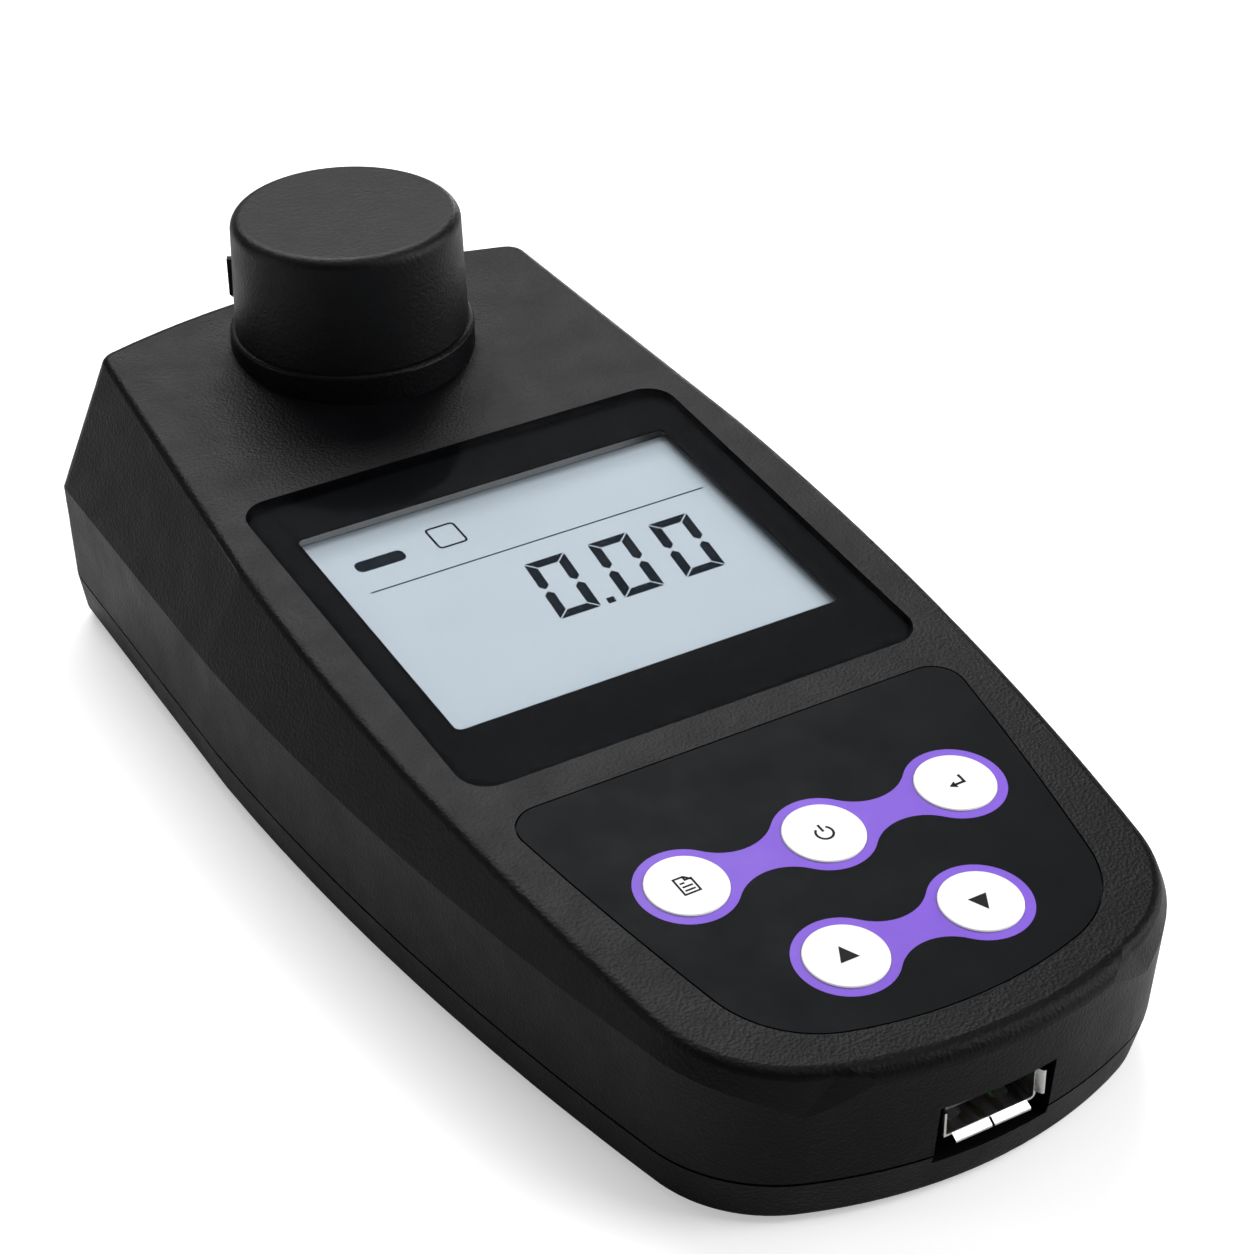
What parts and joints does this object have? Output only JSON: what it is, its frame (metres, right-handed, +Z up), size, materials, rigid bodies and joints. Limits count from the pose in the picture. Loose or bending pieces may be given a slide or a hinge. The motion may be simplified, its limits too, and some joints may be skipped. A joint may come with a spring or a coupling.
{
  "type": "turbidity meter",
  "caption": "Handheld turbidity meter with a display and keypad on a sloping deck, a capped sample well, a battery bay and a USB socket.",
  "frame": {"origin": "on the surface that the feet stand on, in the middle of the case's plan", "axes": "+Z up, +Y from the socket end to the sample well end, +X across to the right when seen from the socket end"},
  "size_m": [0.09, 0.1799, 0.0595],
  "materials": {
    "housing_plastic": "black moulded plastic with a fine leather-like grain",
    "cap_plastic": "black moulded plastic, smooth satin",
    "tube_plastic": "black moulded plastic, matte",
    "window_clear": "clear, glossy, hard coated",
    "mask_print": "black print behind the window",
    "lcd_panel": "grey-blue liquid crystal panel under a polariser",
    "frame_plastic": "white moulded plastic",
    "light_guide": "diffusing acrylic",
    "elastomer": "striped conductive rubber",
    "circuit_board": "green solder resist",
    "component_black": "moulded packages",
    "overlay_film": "black printed film, fine texture, with violet bands",
    "key_white": "white film, satin, with a plain black symbol",
    "spring_steel": "bright spring steel",
    "socket_metal": "nickel plated sheet",
    "tongue_plastic": "dark grey moulded plastic",
    "contact_metal": "gold plated",
    "cell_wrap": "plain printed wrap",
    "screw_steel": "zinc plated",
    "foot_rubber": "black rubber",
    "cable_film": "white flat cable",
    "lens_clear": "clear optical plastic",
    "lamp_epoxy": "water-clear epoxy"
  },
  "bodies": {
    "meter": {"upper_housing": "housing_plastic", "lower_housing": "housing_plastic", "cell_holder": "tube_plastic", "port_windows": "lens_clear", "emitter_lamp": "lamp_epoxy", "emitter_board": "circuit_board", "detector_diode": "socket_metal", "detector_board": "circuit_board", "display_window": "window_clear", "window_mask": "mask_print", "lcd_glass": "lcd_panel", "lcd_frame": "frame_plastic", "backlight_panel": "light_guide", "zebra_strips": "elastomer", "main_board": "circuit_board", "board_components": "component_black", "keypad_overlay": "overlay_film", "keypad_board": "circuit_board", "key_domes": "spring_steel", "keypad_ribbon": "cable_film", "usb_board": "circuit_board", "usb_shell": "socket_metal", "usb_tongue": "tongue_plastic", "usb_contacts": "contact_metal", "battery_cells": "cell_wrap", "battery_springs": "spring_steel", "battery_contacts": "socket_metal", "housing_screws": "screw_steel", "chamber_screws": "screw_steel", "board_screws": "screw_steel", "rubber_feet": "foot_rubber"},
    "cap": {"light_shield_cap": "cap_plastic"},
    "door": {"battery_door": "housing_plastic"},
    "key_list": {"key_list": "key_white"},
    "key_power": {"key_power": "key_white"},
    "key_enter": {"key_enter": "key_white"},
    "key_up": {"key_up": "key_white"},
    "key_down": {"key_down": "key_white"}
  },
  "joints": [
    {"name": "cap_lift", "type": "slide", "parent": "meter", "child": "cap", "axis": [0, 0, 1], "range_m": [0, 0.06]},
    {"name": "door_swing", "type": "hinge", "parent": "meter", "child": "door", "pos_m": [0, -0.00535, 0.003], "axis": [-1, 0, 0], "range_deg": [0, 35]},
    {"name": "key_list_press", "type": "slide", "parent": "meter", "child": "key_list", "axis": [0, 0.0941, -0.9956], "range_m": [0, 0.0004], "stiffness_N_per_m": 2000, "springref_m": -0.0004},
    {"name": "key_power_press", "type": "slide", "parent": "meter", "child": "key_power", "axis": [0, 0.0941, -0.9956], "range_m": [0, 0.0004], "stiffness_N_per_m": 2000, "springref_m": -0.0004},
    {"name": "key_enter_press", "type": "slide", "parent": "meter", "child": "key_enter", "axis": [0, 0.0941, -0.9956], "range_m": [0, 0.0004], "stiffness_N_per_m": 2000, "springref_m": -0.0004},
    {"name": "key_up_press", "type": "slide", "parent": "meter", "child": "key_up", "axis": [0, 0.0941, -0.9956], "range_m": [0, 0.0004], "stiffness_N_per_m": 2000, "springref_m": -0.0004},
    {"name": "key_down_press", "type": "slide", "parent": "meter", "child": "key_down", "axis": [0, 0.0941, -0.9956], "range_m": [0, 0.0004], "stiffness_N_per_m": 2000, "springref_m": -0.0004}
  ]
}
